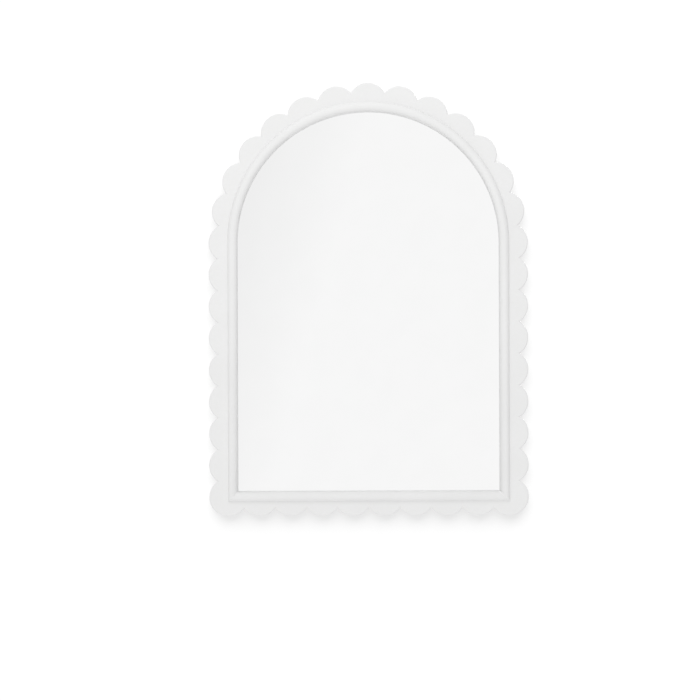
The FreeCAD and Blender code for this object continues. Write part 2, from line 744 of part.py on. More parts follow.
os.makedirs("parts", exist_ok=True)
for piece in pieces:
    piece.Shape.exportStep(f"parts/{piece.Label}.step")
    box = piece.Shape.optimalBoundingBox(False)
    print(
        f"{piece.Label:20s} solids {len(piece.Shape.Solids):3d}  volume {piece.Shape.Volume:11.1f}"
        f"  X {box.XMin:8.2f} {box.XMax:8.2f}  Y {box.YMin:7.2f} {box.YMax:7.2f}"
        f"  Z {box.ZMin:8.2f} {box.ZMax:8.2f}"
    )
print(f"hinge axis at X {places.hanger_x:.3f}, Y {places.loop_outer:.3f}, Z {places.hanger_z:.3f}")
print(f"ring at rest {places.ring_tilt:.3f} degrees from hanging straight down")
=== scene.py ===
import json
import math

import bmesh
import bpy
from mathutils import Matrix, Vector


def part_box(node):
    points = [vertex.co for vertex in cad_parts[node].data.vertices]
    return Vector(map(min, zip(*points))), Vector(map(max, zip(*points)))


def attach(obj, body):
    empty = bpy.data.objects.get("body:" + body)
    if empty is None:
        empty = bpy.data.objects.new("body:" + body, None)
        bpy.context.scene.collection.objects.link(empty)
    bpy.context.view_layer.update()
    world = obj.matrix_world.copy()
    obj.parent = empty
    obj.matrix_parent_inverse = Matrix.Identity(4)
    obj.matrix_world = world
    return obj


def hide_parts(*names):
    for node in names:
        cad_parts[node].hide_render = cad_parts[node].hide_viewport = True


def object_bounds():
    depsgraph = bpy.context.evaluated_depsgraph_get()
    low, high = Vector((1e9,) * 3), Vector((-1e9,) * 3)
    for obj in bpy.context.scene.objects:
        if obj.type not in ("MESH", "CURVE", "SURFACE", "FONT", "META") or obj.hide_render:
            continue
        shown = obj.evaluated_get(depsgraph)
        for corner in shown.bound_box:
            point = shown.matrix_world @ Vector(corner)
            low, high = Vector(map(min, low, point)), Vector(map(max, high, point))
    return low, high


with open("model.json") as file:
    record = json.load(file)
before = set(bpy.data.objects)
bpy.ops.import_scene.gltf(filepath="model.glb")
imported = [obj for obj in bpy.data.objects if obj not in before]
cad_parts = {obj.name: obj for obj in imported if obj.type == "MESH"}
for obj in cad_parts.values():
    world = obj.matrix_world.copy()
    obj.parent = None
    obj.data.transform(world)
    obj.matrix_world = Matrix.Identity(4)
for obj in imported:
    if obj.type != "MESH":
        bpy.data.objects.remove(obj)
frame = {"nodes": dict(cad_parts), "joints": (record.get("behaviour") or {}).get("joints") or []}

cad_low, cad_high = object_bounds()

# The board: one sheet of fibreboard sawn to a scalloped outline, with its front edge rounded over by a
# router and two rabbets cut in its back. It is sprayed with satin white paint: two coats on the front
# and the edges, and one thin coat on the back.
mm = 0.001
hair = 0.002 * mm
board_low, board_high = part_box("scalloped_board")
front = board_low.y
back = board_high.y
arch_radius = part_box("bead_arch")[1].x
sight_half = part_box("bead_right_leg")[0].x
sight_sill = -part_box("bead_bottom_rail")[1].z
mitre_rise = sight_sill - sight_half
scallop_radius = board_high.x - arch_radius
leg_drop = -board_low.z - scallop_radius
arch_pitches = 14
leg_pitches = 8
bottom_pitches = 9
edge_round = 2.5 * mm
edge_arris = 0.5 * mm
flat_margin = 0.6 * mm
lobe_sweep = math.radians(225)
lobe_steps = 75
arch_steps = 90
lip_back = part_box("mirror_glass")[0].y
ledge_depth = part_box("backing_board")[0].y
glass_play = 1.5 * mm
backing_play = 0.5 * mm
glass_rabbet_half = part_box("mirror_glass")[1].x + glass_play
backing_rabbet_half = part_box("backing_board")[1].x + backing_play


def chain(shape, points):
    """Join points with straight edges and return the new vertices."""
    verts = [shape.verts.new(point) for point in points]
    for pair in zip(verts, verts[1:]):
        shape.edges.new(pair)
    return verts


def round_corner(shape, vert, radius, segments):
    """Round one corner of a chain."""
    bmesh.ops.bevel(
        shape, geom=[vert], offset=radius, segments=segments, profile=0.5, affect="VERTICES", material=-1
    )


def join(shape, part):
    """Move the geometry of one bmesh into another."""
    carrier = bpy.data.meshes.new("carrier")
    part.to_mesh(carrier)
    part.free()
    shape.from_mesh(carrier)
    bpy.data.meshes.remove(carrier)


def everything(shape):
    """All vertices, edges and faces of a bmesh, as its operators take them."""
    return shape.verts[:] + shape.edges[:] + shape.faces[:]


def draw_out(shape, line):
    """Extrude a line of edges, still in place, and return its new vertices and edges."""
    made = bmesh.ops.extrude_edge_only(shape, edges=line)["geom"]
    verts = [item for item in made if isinstance(item, bmesh.types.BMVert)]
    edges = [item for item in made if isinstance(item, bmesh.types.BMEdge)]
    return verts, [edge for edge in edges if all(vert in verts for vert in edge.verts)]


def carry_round(shape):
    """Carry an open section, drawn at the right end of the arch, over the arch, down both legs to the
    mitred corners and along the bottom."""
    section = everything(shape)
    arch = bmesh.ops.spin(
        shape, geom=section, cent=(0, 0, 0), axis=(0, -1, 0), dvec=(0, 0, 0), angle=math.pi,
        steps=arch_steps, use_merge=False,
    )
    corners = []
    for end in (section, arch["geom_last"]):
        verts, line = draw_out(shape, [item for item in end if isinstance(item, bmesh.types.BMEdge)])
        for vert in verts:
            vert.co.z = -abs(vert.co.x) - mitre_rise
        corners += line
    bmesh.ops.bridge_loops(shape, edges=corners)


def fill_level(shape, depth):
    """Fill between the open edges that lie at one depth."""
    edges = [
        edge for edge in shape.edges
        if len(edge.link_faces) < 2 and all(abs(vert.co.y - depth) < hair for vert in edge.verts)
    ]
    bmesh.ops.triangle_fill(shape, use_beauty=True, use_dissolve=False, edges=edges)


def finish_piece(name, shape, materials, stands_for, body="frame", sharp=35):
    """Make a bmesh into a piece, smooth but for edges sharper than an angle in degrees. It rides on a
    body and replaces the node that it stands for."""
    bmesh.ops.recalc_face_normals(shape, faces=shape.faces)
    if shape.calc_volume(signed=True) < 0:
        bmesh.ops.reverse_faces(shape, faces=shape.faces)
    for face in shape.faces:
        face.smooth = True
    for edge in shape.edges:
        edge.smooth = edge.calc_face_angle(0) < math.radians(sharp)
    mesh = bpy.data.meshes.new(name)
    shape.to_mesh(mesh)
    shape.free()
    for material in materials:
        mesh.materials.append(material)
    piece = bpy.data.objects.new(name, mesh)
    bpy.context.scene.collection.objects.link(piece)
    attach(piece, body)
    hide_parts(stands_for)
    return piece


def linear(colour):
    """An sRGB hex colour as the linear values that a shader takes."""
    shares = [int(colour[place:place + 2], 16) / 255 for place in (1, 3, 5)]
    return (*(s / 12.92 if s <= 0.04045 else ((s + 0.055) / 1.055) ** 2.4 for s in shares), 1.0)


def node(tree, kind, inputs=None, **settings):
    """Add a node, set it up, and give each named or numbered input a value or a link."""
    made = tree.nodes.new("ShaderNode" + kind)
    for name, setting in settings.items():
        setattr(made, name, setting)
    for name, value in (inputs or {}).items():
        if isinstance(value, bpy.types.NodeSocket):
            tree.links.new(value, made.inputs[name])
        else:
            made.inputs[name].default_value = value
    return made


def new_material(name, **constants):
    """A material with its shader, whose sockets of the same value all over are set here."""
    material = bpy.data.materials.new(name)
    material.use_nodes = True
    shader = material.node_tree.nodes["Principled BSDF"]
    for socket, value in constants.items():
        shader.inputs[socket.replace("_", " ")].default_value = value
    return material, material.node_tree, shader


# Most of a noise lies between these two levels.
noise_range = {"From Min": 0.3, "From Max": 0.7}


def grain(tree, place, size, detail=2.0, stretch=(1, 1, 1), shift=0.0, curl=0.0):
    """Noise whose grains have a real size, drawn out along each axis by stretch, and curled."""
    scale = [1 / (size * along) for along in stretch]
    placed = node(tree, "Mapping", {"Vector": place, "Location": (shift,) * 3, "Scale": scale})
    sockets = {"Vector": placed.outputs[0], "Scale": 1.0, "Detail": detail, "Distortion": curl}
    return node(tree, "TexNoise", sockets).outputs["Fac"]


def patched(tree, base, patches):
    """A colour with others laid over it. Each comes up where a noise runs from one level to another, by
    default over its usual range, to the share given."""
    colour = linear(base)
    for noise, over, share, *levels in patches:
        sockets = {"Value": noise, **noise_range, "To Max": share}
        if levels:
            sockets["From Min"], sockets["From Max"] = levels
        cover = node(tree, "MapRange", sockets).outputs[0]
        # The factor of a Mix node is its socket 0, and its two colours are 6 and 7.
        colour = node(tree, "Mix", {0: cover, 6: colour, 7: linear(over)}, data_type="RGBA").outputs[2]
    return colour


def relief(tree, layers):
    """Add up bumps, each a height from 0 to 1 and its real depth, into one normal."""
    normal = None
    for height, depth in layers:
        sockets = {"Height": height, "Distance": depth, "Strength": 1.0}
        if normal is not None:
            sockets["Normal"] = normal
        normal = node(tree, "Bump", sockets).outputs[0]
    return normal


def sprayed_satin_paint(name, grain_along):
    """Satin acrylic enamel, sprayed: an even plain white, with soft orange peel about 3 mm across and,
    on sawn edges and along mouldings, a faint raised grain. The thin coat on a back shows fibres."""
    material, tree, shader = new_material(name, IOR=1.49)
    texture = node(tree, "TexCoord")
    place = texture.outputs["Object"]
    facing = node(tree, "SeparateXYZ", {"Vector": texture.outputs["Normal"]}).outputs["Y"]
    on_back = node(tree, "MapRange", {"Value": facing, "From Min": 0.5, "From Max": 0.9}).outputs[0]
    flatness = node(tree, "Math", {0: facing}, operation="ABSOLUTE").outputs[0]
    on_edge = node(tree, "MapRange", {"Value": flatness, "From Min": 0.9, "From Max": 0.2}).outputs[0]
    drift = grain(tree, place, 90 * mm, 1.0)
    mottle = grain(tree, place, 7 * mm, 3.0, shift=3.0)
    fibres = grain(tree, place, 1.6 * mm, 4.0, stretch=grain_along, shift=7.0, curl=0.8)
    coat = patched(tree, "#F2F2F2", [(drift, "#EFEFEF", 1.0), (mottle, "#EEEEED", 0.5)])
    thin = patched(tree, "#E8E4DD", [(fibres, "#D9D0C3", 0.5)])
    colour = node(tree, "Mix", {0: on_back, 6: coat, 7: thin}, data_type="RGBA").outputs[2]
    tree.links.new(colour, shader.inputs["Base Color"])
    sockets = {"Value": mottle, **noise_range, "To Min": 0.38, "To Max": 0.46}
    roughness = node(tree, "MapRange", sockets).outputs[0]
    for where, more in ((on_edge, 0.08), (on_back, 0.2)):
        sockets = {0: where, 1: more, 2: roughness}
        roughness = node(tree, "Math", sockets, operation="MULTIPLY_ADD").outputs[0]
    tree.links.new(roughness, shader.inputs["Roughness"])
    orange_peel = grain(tree, place, 3 * mm, 1.0, shift=11.0)
    raised = node(tree, "Math", {0: fibres, 1: on_edge}, operation="MULTIPLY").outputs[0]
    exposed = node(tree, "Math", {0: fibres, 1: on_back}, operation="MULTIPLY").outputs[0]
    normal = relief(tree, [(orange_peel, 0.02 * mm), (raised, 0.03 * mm), (exposed, 0.05 * mm)])
    tree.links.new(normal, shader.inputs["Normal"])
    return material


def raw_fibreboard():
    """Medium-density fibreboard as the cutter leaves it: tan, matt and slightly furry."""
    material, tree, shader = new_material("raw_medium_density_fibreboard", Roughness=0.9)
    place = node(tree, "TexCoord").outputs["Object"]
    fibres = grain(tree, place, 0.8 * mm, 4.0)
    colour = patched(tree, "#B79468", [(fibres, "#94724A", 1.0)])
    tree.links.new(colour, shader.inputs["Base Color"])
    tree.links.new(relief(tree, [(fibres, 0.15 * mm)]), shader.inputs["Normal"])
    return material


def lobe_places():
    """The centre and outward angle of each scallop, from the right end of the arch anticlockwise."""
    places = []
    for step in range(arch_pitches + 1):
        angle = math.pi * step / arch_pitches
        places.append((Vector((math.cos(angle), 0, math.sin(angle))) * arch_radius, angle))
    for step in range(1, leg_pitches):
        places.append((Vector((-arch_radius, 0, -leg_drop * step / leg_pitches)), math.pi))
    places.append((Vector((-arch_radius, 0, -leg_drop)), math.pi * 1.25))
    for step in range(1, bottom_pitches):
        across = arch_radius * (2 * step / bottom_pitches - 1)
        places.append((Vector((across, 0, -leg_drop)), math.pi * 1.5))
    places.append((Vector((arch_radius, 0, -leg_drop)), math.pi * 1.75))
    for step in range(1, leg_pitches):
        places.append((Vector((arch_radius, 0, -leg_drop * (1 - step / leg_pitches))), 0.0))
    return places


def scallop_edge(centre, outward, neighbours):
    """The routed edge round one scallop, cut off where it meets its neighbours."""
    shape = bmesh.new()
    inner = scallop_radius - edge_round - flat_margin
    corners = chain(shape, [
        (inner, front, 0),
        (scallop_radius, front, 0),
        (scallop_radius, back, 0),
        (inner, back, 0),
    ])
    round_corner(shape, corners[1], edge_round, segments=8)
    round_corner(shape, corners[2], edge_arris, segments=2)
    turn = Matrix.Rotation(lobe_sweep / 2 - outward, 3, "Y")
    bmesh.ops.rotate(shape, verts=shape.verts, cent=(0, 0, 0), matrix=turn)
    bmesh.ops.spin(
        shape, geom=everything(shape), cent=(0, 0, 0), axis=(0, -1, 0), dvec=(0, 0, 0),
        angle=lobe_sweep, steps=lobe_steps, use_merge=False,
    )
    bmesh.ops.translate(shape, verts=shape.verts, vec=centre)
    for other in neighbours:
        bmesh.ops.bisect_plane(
            shape, geom=everything(shape), dist=hair / 10, plane_co=(centre + other) / 2,
            plane_no=other - centre, clear_outer=True,
        )
    return shape


board = bmesh.new()
chain(board, [
    (sight_half, front, 0),
    (sight_half, lip_back, 0),
    (glass_rabbet_half, lip_back, 0),
    (glass_rabbet_half, ledge_depth, 0),
    (backing_rabbet_half, ledge_depth, 0),
    (backing_rabbet_half, back, 0),
])
carry_round(board)
for wall in board.faces:
    wall.material_index = 1 if wall.calc_center_median().y > lip_back - hair else 0
places = lobe_places()
for number, (centre, outward) in enumerate(places):
    neighbours = (places[number - 1][0], places[(number + 1) % len(places)][0])
    join(board, scallop_edge(centre, outward, neighbours))
bmesh.ops.remove_doubles(board, verts=board.verts, dist=hair)
fill_level(board, front)
fill_level(board, back)
board_paint = sprayed_satin_paint("sprayed_satin_enamel_on_fibreboard", (1, 1, 1))
finish_piece(
    "board", board, [board_paint, raw_fibreboard()], stands_for="scalloped_board"
)


# The bead: a half-round moulding in four lengths, glued and pinned along the opening before painting.
# The lengths meet in filled joints at the ends of the arch and in mitres at the bottom corners, where
# a fine open line shows. Paint has gathered in the corner between bead and board.
bead_half_width = (arch_radius - sight_half) / 2
quirk = 1.2 * mm
quirk_top = front - quirk
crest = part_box("bead_arch")[0].y
bead_rise = quirk_top - crest
bead_curve = (bead_half_width ** 2 + bead_rise ** 2) / (2 * bead_rise)
bead_steps = 20
bead_grain = 14
paint_fillet = 1.0 * mm
fillet_round = 0.98 * paint_fillet
mitre_gap = 0.3 * mm


def bead_section():
    """The closed section of the bead at the right end of the arch."""
    shape = bmesh.new()
    outer, foot, low = chain(
        shape,
        [(arch_radius, quirk_top, 0), (arch_radius, front, 0), (arch_radius + paint_fillet, front, 0)],
    )
    middle = (arch_radius - bead_half_width, crest + bead_curve, 0)
    arc = bmesh.ops.spin(
        shape, geom=[outer], cent=middle, axis=(0, 0, -1), dvec=(0, 0, 0),
        angle=2 * math.asin(bead_half_width / bead_curve), steps=bead_steps, use_merge=False,
    )
    inner = next(item for item in arc["geom_last"] if isinstance(item, bmesh.types.BMVert))
    heel = shape.verts.new((sight_half, front, 0))
    shape.edges.new((inner, heel))
    shape.edges.new((heel, low))
    round_corner(shape, foot, fillet_round, segments=4)
    return shape


def close_ends(shape):
    """Cap the open ends of a length of moulding."""
    bmesh.ops.holes_fill(shape, edges=shape.edges, sides=0)


def ease_mitre(shape, line, inward):
    """End a length at its mitre, with the last of it drawn in a little, which leaves a fine line."""
    full = {vert for edge in line for vert in edge.verts}
    tip, _ = draw_out(shape, line)
    bmesh.ops.translate(shape, verts=list(full), vec=Vector(inward) * mitre_gap)
    middle = sum((vert.co for vert in tip), Vector()) / len(tip)
    share = 1 - mitre_gap / bead_half_width
    bmesh.ops.scale(shape, verts=tip, vec=(share,) * 3, space=Matrix.Translation(-middle))


bead_finishes = {
    "arch": sprayed_satin_paint("sprayed_satin_enamel_on_bent_bead", (1, 1, 1)),
    "upright": sprayed_satin_paint("sprayed_satin_enamel_on_upright_bead", (1, 1, bead_grain)),
    "level": sprayed_satin_paint("sprayed_satin_enamel_on_level_bead", (bead_grain, 1, 1)),
}
arch_bead = bead_section()
bmesh.ops.spin(
    arch_bead, geom=everything(arch_bead), cent=(0, 0, 0), axis=(0, -1, 0), dvec=(0, 0, 0),
    angle=math.pi, steps=2 * arch_steps, use_merge=False,
)
close_ends(arch_bead)
finish_piece("arch_bead", arch_bead, [bead_finishes["arch"]], stands_for="bead_arch")
for side, hand in ((-1, "left"), (1, "right")):
    leg = bead_section()
    verts, foot = draw_out(leg, leg.edges[:])
    for vert in verts:
        vert.co.z = -vert.co.x - mitre_rise
    ease_mitre(leg, foot, (0, 0, 1))
    close_ends(leg)
    bmesh.ops.scale(leg, verts=leg.verts, vec=(side, 1, 1))
    finish_piece(
        hand + "_leg_bead", leg, [bead_finishes["upright"]],
        stands_for=f"bead_{hand}_leg",
    )
rail = bead_section()
for vert in rail.verts:
    vert.co.z = -vert.co.x - mitre_rise
right_end = rail.edges[:]
verts, left_end = draw_out(rail, right_end)
for vert in verts:
    vert.co.x = -vert.co.x
ease_mitre(rail, right_end, (-1, 0, 0))
ease_mitre(rail, left_end, (1, 0, 0))
close_ends(rail)
finish_piece(
    "bottom_bead", rail, [bead_finishes["level"]], stands_for="bead_bottom_rail"
)


# The mirror: 4 mm clear float glass cut to the arch, with its sharp edges ground off. Its back carries a
# film of silver, and over that a coat of grey paint that keeps the silver from tarnishing.
glass_low, glass_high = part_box("mirror_glass")
glass_arris = 0.4 * mm
foam_clearance = 0.05 * mm
paint_back = glass_high.y - foam_clearance


def arched_sheet(half_width, near, far, arris):
    """A flat sheet with the shape of the opening, its edges eased, left open at both faces."""
    shape = bmesh.new()
    chain(shape, [
        (half_width - arris, near, 0),
        (half_width, near + arris, 0),
        (half_width, far - arris, 0),
        (half_width - arris, far, 0),
    ])
    carry_round(shape)
    return shape


def silvered_float_glass():
    """Silver behind clear float glass: almost white and sharp, as flat as the molten tin it set on, with
    the barest trace of haze and a slow roller wave of a few thousandths of a millimetre."""
    material, tree, shader = new_material("silvered_float_glass", Metallic=1.0)
    place = node(tree, "TexCoord").outputs["Object"]
    haze = grain(tree, place, 60 * mm, 2.0)
    wave = grain(tree, place, 120 * mm, 0.0, stretch=(1, 1, 4))
    colour = patched(tree, "#FAFAFA", [(haze, "#F9F9F9", 1.0)])
    tree.links.new(colour, shader.inputs["Base Color"])
    sockets = {"Value": haze, **noise_range, "To Min": 0.002, "To Max": 0.01}
    roughness = node(tree, "MapRange", sockets).outputs[0]
    tree.links.new(roughness, shader.inputs["Roughness"])
    tree.links.new(relief(tree, [(wave, 0.003 * mm)]), shader.inputs["Normal"])
    return material


def ground_glass_edge():
    """The ground edge of float glass: pale green and satin, with fine lines along it from the wheel."""
    material, tree, shader = new_material(
        "ground_float_glass_edge", Base_Color=linear("#CFE3D8"), Transmission_Weight=1.0, IOR=1.52
    )
    place = node(tree, "TexCoord").outputs["Object"]
    lines = grain(tree, place, 0.25 * mm, 2.0, stretch=(12, 1, 12))
    sockets = {"Value": lines, **noise_range, "To Min": 0.3, "To Max": 0.5}
    roughness = node(tree, "MapRange", sockets).outputs[0]
    tree.links.new(roughness, shader.inputs["Roughness"])
    tree.links.new(relief(tree, [(lines, 0.03 * mm)]), shader.inputs["Normal"])
    return material


def mirror_backing_paint():
    """Grey alkyd paint, run over the silver in a curtain: even and dull, with a few fine specks."""
    material, tree, shader = new_material("grey_mirror_backing_paint", Roughness=0.55)
    place = node(tree, "TexCoord").outputs["Object"]
    speck = grain(tree, place, 1.2 * mm, 3.0)
    colour = patched(tree, "#6F7477", [(speck, "#7A7F82", 1.0)])
    tree.links.new(colour, shader.inputs["Base Color"])
    tree.links.new(relief(tree, [(speck, 0.02 * mm)]), shader.inputs["Normal"])
    return material


plate = arched_sheet(glass_high.x, glass_low.y, paint_back, glass_arris)
for rim in plate.faces:
    rim.material_index = 1
fill_level(plate, glass_low.y)
fill_level(plate, paint_back)
for face in plate.faces:
    if abs(face.calc_center_median().y - paint_back) < hair:
        face.material_index = 2
finish_piece(
    "silvered_plate", plate, [silvered_float_glass(), ground_glass_edge(), mirror_backing_paint()],
    stands_for="mirror_glass", sharp=20,
)


# The backing: 3 mm hardboard sawn to the arch, smooth side out. It is flush in the outer rabbet of the
# board, with a countersunk hole for each of its screws.
backing_low, backing_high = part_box("backing_board")
backing_arris = 0.25 * mm
sunk_head_radius = 3 * mm
screw_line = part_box("backing_screws")[1].x - sunk_head_radius
sink_radius = 3.3 * mm
sink_depth = 1.7 * mm
hole_radius = 1.6 * mm
arch_screws = 5
side_screws = 3


def turned(points, steps, rounded=()):
    """A shape turned about the Y axis from a profile of radius and depth, with corners of it rounded."""
    shape = bmesh.new()
    profile = chain(shape, [(radius, depth, 0) for radius, depth in points])
    for corner, radius in rounded:
        round_corner(shape, profile[corner], radius, segments=5)
    bmesh.ops.spin(
        shape, geom=everything(shape), cent=(0, 0, 0), axis=(0, -1, 0), dvec=(0, 0, 0),
        angle=math.tau, steps=steps, use_merge=True,
    )
    bmesh.ops.remove_doubles(shape, verts=shape.verts, dist=hair)
    return shape


def backing_screw_places():
    """Where the screws go, along the middle of the ledge: five over the arch and three on each side."""
    places = []
    for step in range(arch_screws):
        angle = math.pi * (step + 0.5) / arch_screws
        places.append(Vector((math.cos(angle), 0, math.sin(angle))) * screw_line)
    for step in range(side_screws):
        share = (step + 0.5) / side_screws
        places += [Vector((side * screw_line, 0, -sight_sill * share)) for side in (-1, 1)]
        places.append(Vector((sight_half * (2 * share - 1), 0, -screw_line - mitre_rise)))
    return places


def pressed_hardboard():
    """Hardboard, hot-pressed from wood fibre: brown, smooth and slightly waxy on this side, faintly
    clouded, with darker and paler fibre bundles a few millimetres long lying every way."""
    material, tree, shader = new_material("pressed_hardboard", IOR=1.47)
    place = node(tree, "TexCoord").outputs["Object"]
    cloud = grain(tree, place, 70 * mm, 2.0)
    felt = grain(tree, place, 2.2 * mm, 4.0, shift=5.0, curl=2.4)
    fleck = grain(tree, place, 1.1 * mm, 3.0, shift=9.0, curl=1.2)
    colour = patched(tree, "#83633F", [
        (cloud, "#785A3B", 0.5),
        (felt, "#6A4E32", 0.5),
        (fleck, "#4A3522", 0.7, 0.6, 0.75),
        (fleck, "#9C7A50", 0.5, 0.4, 0.27),
    ])
    tree.links.new(colour, shader.inputs["Base Color"])
    sockets = {"Value": felt, **noise_range, "To Min": 0.42, "To Max": 0.6}
    roughness = node(tree, "MapRange", sockets).outputs[0]
    tree.links.new(roughness, shader.inputs["Roughness"])
    tree.links.new(relief(tree, [(felt, 0.05 * mm), (fleck, 0.04 * mm)]), shader.inputs["Normal"])
    return material


backing = arched_sheet(backing_high.x, backing_low.y, backing_high.y, backing_arris)
for place in backing_screw_places():
    hole = turned([
        (sink_radius, backing_high.y),
        (hole_radius, backing_high.y - sink_depth),
        (hole_radius, backing_low.y),
    ], steps=32)
    bmesh.ops.translate(hole, verts=hole.verts, vec=place)
    join(backing, hole)
fill_level(backing, backing_low.y)
fill_level(backing, backing_high.y)
finish_piece(
    "hardboard_backing", backing, [pressed_hardboard()], stands_for="backing_board"
)


# The backing screws: fourteen countersunk wood screws with cross recesses, of zinc-plated steel, driven
# just below the face of the backing. Each has stopped at its own turn.
screw_core = 1.05 * mm
screw_crest = 1.5 * mm
screw_point = 1.4 * mm
plain_neck = 0.3 * mm
thread_pitch = 1.25 * mm
thread_width = 0.7 * mm
thread_root = 0.1 * mm
thread_steps = 16
recess_arm = 0.24
recess_corner = 1.5
recess_floor = 0.55
head_land = 0.12 * mm
head_depth = 2.07 * mm


def cross_recess(shape, level, reach, depth):
    """Sink a tapered cross recess into a head, and fill the head's top round it. Its arm is a share of
    its reach, its inner corner a multiple of its arm, and its floor a share of its mouth."""
    arm = recess_arm * reach
    corner = recess_corner * arm
    recess = bmesh.new()
    chain(recess, [
        (reach, level, -arm), (reach, level, arm), (corner, level, corner), (arm, level, reach),
    ])
    bmesh.ops.spin(
        recess, geom=everything(recess), cent=(0, 0, 0), axis=(0, -1, 0), dvec=(0, 0, 0),
        angle=math.pi * 1.5, steps=3, use_duplicate=True, use_merge=False,
    )
    bmesh.ops.remove_doubles(recess, verts=recess.verts, dist=hair)
    floor, _ = draw_out(recess, recess.edges[:])
    bmesh.ops.scale(recess, verts=floor, vec=(recess_floor, 1, recess_floor))
    bmesh.ops.translate(recess, verts=floor, vec=(0, -depth, 0))
    fill_level(recess, level - depth)
    join(shape, recess)
    fill_level(shape, level)


def thread(start, end):
    """The ridge of a screw thread, wound down the core from one depth to another."""
    shape = bmesh.new()
    inside = screw_core - thread_root
    ridge = chain(shape, [
        (inside, start, 0),
        (screw_crest, start - thread_width / 2, 0),
        (inside, start - thread_width, 0),
    ])
    shape.edges.new((ridge[2], ridge[0]))
    turns = (start - end - thread_width) / thread_pitch
    bmesh.ops.spin(
        shape, geom=everything(shape), cent=(0, 0, 0), axis=(0, -1, 0), angle=math.tau * turns,
        dvec=(0, -thread_pitch / thread_steps, 0), steps=round(turns * thread_steps), use_merge=False,
    )
    close_ends(shape)
    return shape


def wood_screw(head, rounded, recess, length):
    """A wood screw along the Y axis, with the top of its head at zero. The head is a profile of radius
    and depth, and the recess is its reach and depth."""
    taper = length - screw_point
    shape = turned(head + [(screw_core, -taper), (0, -length)], steps=32, rounded=rounded)
    cross_recess(shape, 0, *recess)
    join(shape, thread(head[-1][1] - plain_neck, -taper))
    return shape


def bright_zinc_plate():
    """Bright zinc plate on steel: silvery with a cool cast, cloudy where it was handled, and covered in
    short tumbling scratches and faint stamping lines."""
    material, tree, shader = new_material("bright_zinc_plated_steel", Metallic=1.0)
    place = node(tree, "TexCoord").outputs["Object"]
    cloud = grain(tree, place, 6 * mm, 3.0)
    scratch = grain(tree, place, 0.35 * mm, 3.0, stretch=(1, 1, 9), shift=4.0)
    rub = grain(tree, place, 0.35 * mm, 3.0, stretch=(7, 1, 1), shift=8.0)
    colour = patched(tree, "#D3D5D8", [(cloud, "#BDBFC2", 1.0), (scratch, "#E3E2DD", 0.35)])
    tree.links.new(colour, shader.inputs["Base Color"])
    sockets = {"Value": cloud, **noise_range, "To Min": 0.24, "To Max": 0.4}
    roughness = node(tree, "MapRange", sockets).outputs[0]
    roughness = node(tree, "Math", {0: rub, 1: 0.12, 2: roughness}, operation="MULTIPLY_ADD").outputs[0]
    tree.links.new(roughness, shader.inputs["Roughness"])
    normal = relief(tree, [(scratch, 0.012 * mm), (rub, 0.01 * mm), (cloud, 0.02 * mm)])
    tree.links.new(normal, shader.inputs["Normal"])
    return material


zinc = bright_zinc_plate()


def set_screws(places, angle_step, make):
    """Drive a screw into each place, each turned on from the last by an angle."""
    shape = bmesh.new()
    for number, place in enumerate(places):
        one = make()
        bmesh.ops.rotate(
            one, verts=one.verts, cent=(0, 0, 0), matrix=Matrix.Rotation(angle_step * number, 3, "Y")
        )
        bmesh.ops.translate(one, verts=one.verts, vec=place)
        join(shape, one)
    return shape


def countersunk_screw():
    """A 3 mm countersunk screw, 10 mm long."""
    head = [(sunk_head_radius, 0), (sunk_head_radius, -head_land), (screw_core, -head_depth)]
    return wood_screw(head, rounded=[], recess=(1.55 * mm, 1.3 * mm), length=10 * mm)


sunk = Vector((0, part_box("backing_screws")[1].y, 0))
sunk_places = [place + sunk for place in backing_screw_places()]
screws = set_screws(sunk_places, angle_step=0.93, make=countersunk_screw)
finish_piece("countersunk_screws", screws, [zinc], stands_for="backing_screws", sharp=25)


# The brads: headless 1.2 mm wire pins under the crest of each bead. Their heads are punched below the
# surface and filled before the paint, so none shows.
for cad_slot in frame["nodes"]["bead_pins"].material_slots:
    cad_slot.material = zinc


# The setting blocks: two short blocks of black extruded rubber that stand in the rabbet under the glass.
# They carry its weight and keep its edge off the wood.
def black_setting_rubber():
    """Extruded EPDM rubber: matt black, with fine lines from the die and a grey bloom."""
    material, tree, shader = new_material("extruded_epdm_rubber", IOR=1.5)
    place = node(tree, "TexCoord").outputs["Object"]
    bloom = grain(tree, place, 4 * mm, 3.0)
    lines = grain(tree, place, 0.4 * mm, 2.0, stretch=(20, 1, 1))
    colour = patched(tree, "#1F1F1F", [(bloom, "#343433", 1.0)])
    tree.links.new(colour, shader.inputs["Base Color"])
    sockets = {"Value": bloom, **noise_range, "To Min": 0.6, "To Max": 0.85}
    roughness = node(tree, "MapRange", sockets).outputs[0]
    tree.links.new(roughness, shader.inputs["Roughness"])
    tree.links.new(relief(tree, [(lines, 0.04 * mm)]), shader.inputs["Normal"])
    return material


setting_rubber = black_setting_rubber()
for hand in ("left", "right"):
    for cad_slot in frame["nodes"][hand + "_setting_block"].material_slots:
        cad_slot.material = setting_rubber


# The foam tape: thin white polyethylene foam stuck round the rabbet, pressed between the glass and the
# backing, so that the glass doesn't rattle.
cell_width = 0.5 * mm


def closed_cell_foam():
    """Closed-cell polyethylene foam: soft white skin, dimpled by cells about half a millimetre wide."""
    material, tree, shader = new_material("closed_cell_polyethylene_foam", Roughness=0.85, IOR=1.35)
    place = node(tree, "TexCoord").outputs["Object"]
    placed = node(tree, "Mapping", {"Vector": place, "Scale": (1 / cell_width,) * 3})
    cells = node(tree, "TexVoronoi", {"Vector": placed.outputs[0], "Scale": 1.0}).outputs["Distance"]
    colour = patched(tree, "#EDEDE8", [(cells, "#DAD9D2", 1.0, 0.1, 0.7)])
    tree.links.new(colour, shader.inputs["Base Color"])
    tree.links.new(relief(tree, [(cells, 0.08 * mm)]), shader.inputs["Normal"])
    return material


